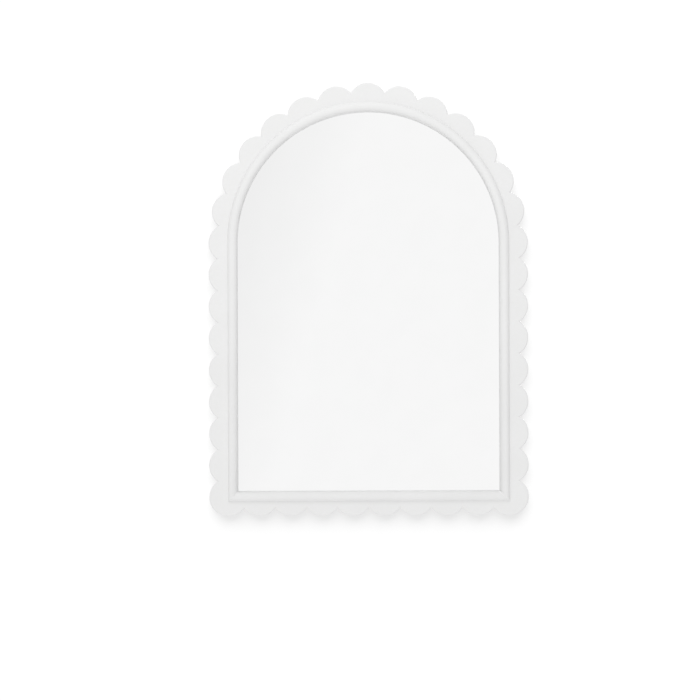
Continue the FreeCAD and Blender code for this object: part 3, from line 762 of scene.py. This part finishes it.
foam = closed_cell_foam()
for part in ("left", "right", "bottom", "arch"):
    for cad_slot in frame["nodes"][part + "_foam_strip"].material_slots:
        cad_slot.material = foam


# The hanger straps: 1 mm steel strip, 15 mm wide, folded double round the bar of a ring, with its two
# layers pierced for two screws. It is zinc-plated after folding, and its edges are tumbled.
strap_width = 15 * mm
strap_metal = 1 * mm
strap_end = 43 * mm
strap_corner = 3 * mm
screw_drops = (24.5 * mm, 37 * mm)
inner_layer = 0.5 * mm
outer_layer = 1.7 * mm
hinges = {joint["child"].split("_")[0]: Vector(joint["pos_m"]) for joint in frame["joints"]}
loop_radius = hinges["right"].y - inner_layer
fold_angle = math.radians(80.4)
fold_radius = 1.5 * mm
tumbled_round = 0.15 * mm


def strap_layer(shape, depth, top):
    """One flat layer, from the fold down to its rounded foot, with its screw holes."""
    half = strap_width / 2
    layer = bmesh.new()
    corners = chain(layer, [
        (-half, depth, top),
        (-half, depth, -strap_end),
        (half, depth, -strap_end),
        (half, depth, top),
    ])
    layer.edges.new((corners[3], corners[0]))
    for corner in corners[1:3]:
        round_corner(layer, corner, strap_corner, segments=6)
    for drop in screw_drops:
        upright = Matrix.Translation((0, depth, -drop)) @ Matrix.Rotation(math.pi / 2, 4, "X")
        bmesh.ops.create_circle(layer, segments=24, radius=hole_radius, matrix=upright)
    fill_level(layer, depth)
    join(shape, layer)


def bend(shape, end, middle, angle, steps):
    """Bend a wire on from its end about a middle given as depth and height, and return its new end."""
    turn = bmesh.ops.spin(
        shape, geom=[end], cent=(0, *middle), axis=(math.copysign(1, angle), 0, 0), dvec=(0, 0, 0),
        angle=abs(angle), steps=steps, use_merge=False,
    )
    return next(item for item in turn["geom_last"] if isinstance(item, bmesh.types.BMVert))


def folded_strap():
    """The middle surface of a strap, with the axis of its ring at height zero."""
    shape = bmesh.new()
    axis = hinges["right"].y
    fold = bmesh.new()
    end = fold.verts.new((-strap_width / 2, inner_layer, 0))
    end = bend(fold, end, (axis, 0), -(math.pi + fold_angle), steps=20)
    lower = -(loop_radius + fold_radius) * math.sin(fold_angle)
    end = bend(fold, end, (outer_layer + fold_radius, lower), fold_angle, steps=7)
    far, _ = draw_out(fold, fold.edges[:])
    bmesh.ops.translate(fold, verts=far, vec=(strap_width, 0, 0))
    foot = end.co.z
    join(shape, fold)
    strap_layer(shape, inner_layer, 0)
    strap_layer(shape, outer_layer, foot)
    bmesh.ops.remove_doubles(shape, verts=shape.verts, dist=hair)
    return shape


for hand, hinge in hinges.items():
    strap = folded_strap()
    bmesh.ops.translate(strap, verts=strap.verts, vec=(hinge.x, 0, hinge.z))
    piece = finish_piece(
        hand + "_strap", strap, [zinc], stands_for=hand + "_hanger_strap"
    )
    thicken = piece.modifiers.new("metal", "SOLIDIFY")
    thicken.thickness = strap_metal
    thicken.offset = 0
    tumble = piece.modifiers.new("tumbled_edges", "BEVEL")
    tumble.width = tumbled_round
    tumble.segments = 2
    tumble.limit_method = "ANGLE"
    tumble.harden_normals = True


# The D-rings: 3 mm steel wire bent to a D, butted in the middle of its bar inside the fold, and
# zinc-plated. Each leans out over its strap as it hangs.
wire_radius = 1.5 * mm
ring_half = 9.6 * mm
ring_drop = 18 * mm
ring_bend = 2.1 * mm
ring_lean = math.radians(4.461)
steps_per_radian = 14


def d_ring():
    """A ring hanging straight down from its bar, which lies on the X axis."""
    shape = bmesh.new()
    bmesh.ops.create_circle(
        shape, segments=20, radius=wire_radius, matrix=Matrix.Translation((ring_half, 0, -ring_bend))
    )
    corner = ring_half - ring_bend
    round_end = ring_half - ring_drop
    line = shape.edges[:]
    for middle, angle, run in (
        ((corner, 0, -ring_bend), math.pi / 2, (-2 * corner, 0, 0)),
        ((-corner, 0, -ring_bend), math.pi / 2, (0, 0, round_end + ring_bend)),
        ((0, 0, round_end), math.pi, (0, 0, -round_end - ring_bend)),
    ):
        turn = bmesh.ops.spin(
            shape, geom=line, cent=middle, axis=(0, -1, 0), dvec=(0, 0, 0), angle=angle,
            steps=round(steps_per_radian * angle), use_merge=False,
        )
        line = [item for item in turn["geom_last"] if isinstance(item, bmesh.types.BMEdge)]
        verts, line = draw_out(shape, line)
        bmesh.ops.translate(shape, verts=verts, vec=run)
    bmesh.ops.remove_doubles(shape, verts=shape.verts, dist=hair)
    return shape


for hand, hinge in hinges.items():
    ring = d_ring()
    bmesh.ops.rotate(ring, verts=ring.verts, cent=(0, 0, 0), matrix=Matrix.Rotation(ring_lean, 3, "X"))
    bmesh.ops.translate(ring, verts=ring.verts, vec=hinge)
    finish_piece(
        hand + "_ring_wire", ring, [zinc], body=hand + "_ring",
        stands_for=hand + "_d_ring",
    )


# The hanger screws: four pan-head wood screws, two through each strap, of the same zinc-plated steel.
# Their heads bear on the outer layer of the strap.
pan_flat = 1.7 * mm
pan_radius = 3 * mm
pan_height = 2 * mm
pan_round = 1.2 * mm
shank_radius = 1.4 * mm
shank_depth = 3.2 * mm


def pan_head_screw():
    """A 3 mm pan-head screw, 12 mm long, with a domed edge to its head."""
    head = [
        (pan_flat, 0),
        (pan_radius, 0),
        (pan_radius, -pan_height),
        (shank_radius, -pan_height),
        (screw_core, -shank_depth),
    ]
    return wood_screw(head, rounded=[(1, pan_round)], recess=(1.5 * mm, 1.5 * mm), length=12 * mm)


head_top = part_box("hanger_screws")[1].y
hanger_places = [
    Vector((hinge.x, head_top, hinge.z - drop)) for hinge in hinges.values() for drop in screw_drops
]
screws = set_screws(hanger_places, angle_step=1.31, make=pan_head_screw)
finish_piece("pan_head_screws", screws, [zinc], stands_for="hanger_screws", sharp=25)


# The bumpers: two moulded rubber buttons, stuck on behind the lower corners, which hold the bottom off
# the wall. Each has a shallow dimple where it was fed in its mould.
bumper_radius = 8 * mm
bumper_top = 6.5 * mm
dimple_radius = 2.4 * mm
dimple_floor = 1.9 * mm
dimple_depth = 0.4 * mm
foot_round = 0.3 * mm
top_round = 1 * mm


def bumper_rubber():
    """Moulded rubber: dark grey, matt with a faint sheen, its fine spark-eroded texture dusted pale."""
    material, tree, shader = new_material("moulded_grey_rubber", IOR=1.5)
    place = node(tree, "TexCoord").outputs["Object"]
    texture = grain(tree, place, 0.3 * mm, 2.0)
    dust = grain(tree, place, 5 * mm, 4.0, shift=2.0)
    colour = patched(tree, "#3A3A3B", [(dust, "#5A5957", 1.0, 0.4, 0.75)])
    tree.links.new(colour, shader.inputs["Base Color"])
    sockets = {"Value": dust, **noise_range, "To Min": 0.5, "To Max": 0.75}
    roughness = node(tree, "MapRange", sockets).outputs[0]
    tree.links.new(roughness, shader.inputs["Roughness"])
    tree.links.new(relief(tree, [(texture, 0.05 * mm)]), shader.inputs["Normal"])
    return material


bumper_finish = bumper_rubber()
for hand in ("left", "right"):
    low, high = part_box(hand + "_bumper")
    height = high.y - low.y
    bumper = turned([
        (0, 0),
        (bumper_radius, 0),
        (bumper_top, height),
        (dimple_radius, height),
        (dimple_floor, height - dimple_depth),
        (0, height - dimple_depth),
    ], steps=48, rounded=[(1, foot_round), (2, top_round)])
    foot = ((low.x + high.x) / 2, low.y, (low.z + high.z) / 2)
    bmesh.ops.translate(bumper, verts=bumper.verts, vec=foot)
    finish_piece(
        hand + "_rubber_bumper", bumper, [bumper_finish],
        stands_for=hand + "_bumper",
    )


# The stage: the wall that the mirror hangs on, curving into a pale floor below it. It is white where
# nothing shades it and keeps the mirror's soft shadow. From behind it is clear, so that the back shows.
wall_clearance = 0.5 * mm
wall_top = 3.0
floor_level = -1.25
floor_end = -5.0
stage_reach = 4.0
cove_radius = 0.35


def matt_white_sweep():
    """Matt studio paper. A glow of its own gives most of its white, so that the shadow on it, which is
    only the light that the frame keeps off, stays as pale and soft as on a white wall."""
    material = bpy.data.materials.new("matt_white_sweep")
    material.use_nodes = True
    tree = material.node_tree
    tree.nodes.clear()
    paper = node(tree, "BsdfDiffuse", {"Color": linear("#505050")}).outputs[0]
    glow = node(tree, "Emission", {"Color": (1, 1, 1, 1), "Strength": 0.74}).outputs[0]
    lit = node(tree, "AddShader", {0: paper, 1: glow}).outputs[0]
    clear = node(tree, "BsdfTransparent").outputs[0]
    behind = node(tree, "NewGeometry").outputs["Backfacing"]
    shown = node(tree, "MixShader", {0: behind, 1: lit, 2: clear}).outputs[0]
    node(tree, "OutputMaterial", {"Surface": shown})
    return material


sweep = bmesh.new()
wall_face = cad_high.y + wall_clearance
_, corner, _ = chain(sweep, [
    (-stage_reach, wall_face, wall_top),
    (-stage_reach, wall_face, floor_level),
    (-stage_reach, floor_end, floor_level),
])
round_corner(sweep, corner, cove_radius, segments=16)
far_side, _ = draw_out(sweep, sweep.edges[:])
bmesh.ops.translate(sweep, verts=far_side, vec=(2 * stage_reach, 0, 0))
sweep_mesh = bpy.data.meshes.new("sweep")
for face in sweep.faces:
    face.smooth = True
    face.normal_update()
    if face.normal.z < face.normal.y:
        face.normal_flip()
sweep.to_mesh(sweep_mesh)
sweep.free()
sweep_mesh.materials.append(matt_white_sweep())
backdrop = bpy.data.objects.new("sweep", sweep_mesh)
bpy.context.scene.collection.objects.link(backdrop)
backdrop.visible_diffuse = False
backdrop.visible_glossy = False
backdrop.visible_transmission = False
backdrop.visible_shadow = False


# The light: a white studio all round, darker at the sides, with one soft lamp high in front and another
# behind. What the mirror shows of the studio darkens slightly to the upper left. A wide light from
# above, and a little from the left, falls on the wall alone and gives the shadow under the frame.
studio = bpy.data.worlds.new("white_studio")
studio.use_nodes = True
tree = studio.node_tree
tree.nodes.clear()
ray = node(tree, "LightPath")
ray_direction = node(tree, "TexCoord").outputs["Generated"]
mirrored_level = 0.975
open_level = 0.773
above_and_below = 0.24
at_the_sides = -0.33


def along(direction, start=0.0):
    """How far a ray points along a direction, added to a start."""
    sockets = {0: ray_direction, 1: direction}
    reach = node(tree, "VectorMath", sockets, operation="DOT_PRODUCT").outputs["Value"]
    return node(tree, "Math", {0: reach, 1: start}, operation="ADD").outputs[0]


# What the mirror shows is plain up to a slanting edge at its upper left, darkens quickly past it, and
# lightens again slowly beyond.
reflected = mirrored_level
across_room = along((1, 0, -0.267), 0.0275)
for start, end, first, last in ((-0.08, 0.0, 0.905, 1.0), (-0.5, -0.08, 1.1, 1.0)):
    shade = node(tree, "MapRange", {
        "Value": across_room, "From Min": start, "From Max": end, "To Min": first, "To Max": last,
    }).outputs[0]
    reflected = node(tree, "Math", {0: shade, 1: reflected}, operation="MULTIPLY").outputs[0]
# All else is lit a little more from the front, the left and below, and more from above and below than
# from the sides.
ambient = along((-0.05, -0.16, -0.07), open_level)
for axis, share in (((0, 0, 1), above_and_below), ((1, 0, 0), at_the_sides)):
    reach = along(axis)
    squared = node(tree, "Math", {0: reach, 1: reach}, operation="MULTIPLY").outputs[0]
    sockets = {0: squared, 1: share, 2: ambient}
    ambient = node(tree, "Math", sockets, operation="MULTIPLY_ADD").outputs[0]
mirror_ray = node(
    tree, "Math", {0: ray.outputs["Is Glossy Ray"], 1: ray.outputs["Is Transmission Ray"]},
    operation="MAXIMUM",
).outputs[0]
# The factor of a Mix node is its socket 0, and its two values are 2 and 3.
level = node(tree, "Mix", {0: mirror_ray, 2: ambient, 3: reflected}).outputs[0]
level = node(tree, "Mix", {0: ray.outputs["Is Camera Ray"], 2: level, 3: 1.0}).outputs[0]
shine = node(tree, "Background", {"Color": (1, 1, 1, 1), "Strength": level}).outputs[0]
node(tree, "OutputWorld", {"Surface": shine})
bpy.context.scene.world = studio


def soft_lamp(name, place, target, width, power):
    """A square studio lamp that points at a target."""
    lamp = bpy.data.lights.new(name, "AREA")
    lamp.size = width
    lamp.energy = power
    hung = bpy.data.objects.new(name, lamp)
    hung.location = place
    hung.rotation_euler = (Vector(target) - Vector(place)).to_track_quat("-Z", "Y").to_euler()
    hung.visible_camera = False
    bpy.context.scene.collection.objects.link(hung)
    return hung


middle = (0, 0, -0.1)
key_lamp = soft_lamp("key_lamp", place=(-0.35, -1.7, 1.6), target=middle, width=1.1, power=9.7)
key_lamp.visible_glossy = False
soft_lamp("back_lamp", place=(1.3, 2.4, 0.9), target=middle, width=1.2, power=33)

# The wall's own light reaches the wall and floor alone, past the object.
wide_light = bpy.data.lights.new("wall_light", "SUN")
wide_light.angle = math.radians(80)
wide_light.energy = 17
wall_light = bpy.data.objects.new("wall_light", wide_light)
wall_light.rotation_euler = (math.radians(32), 0, math.radians(-12))
bpy.context.scene.collection.objects.link(wall_light)
wall_and_floor = bpy.data.collections.new("wall_and_floor")
wall_and_floor.objects.link(backdrop)
wall_light.light_linking.receiver_collection = wall_and_floor


# The camera: level and square to the wall, a little below and to the left of the middle of the arch,
# with a long lens, as in the photograph.
lens = bpy.data.cameras.new("camera")
lens.sensor_width = 36
lens.lens = 80.80
camera = bpy.data.objects.new("camera", lens)
camera.location = (-0.0355, -3.015, -0.2053)
camera.rotation_euler = (math.pi / 2, math.radians(0.2), 0)
bpy.context.scene.collection.objects.link(camera)
bpy.context.scene.camera = camera
bpy.context.scene.view_settings.view_transform = "Standard"
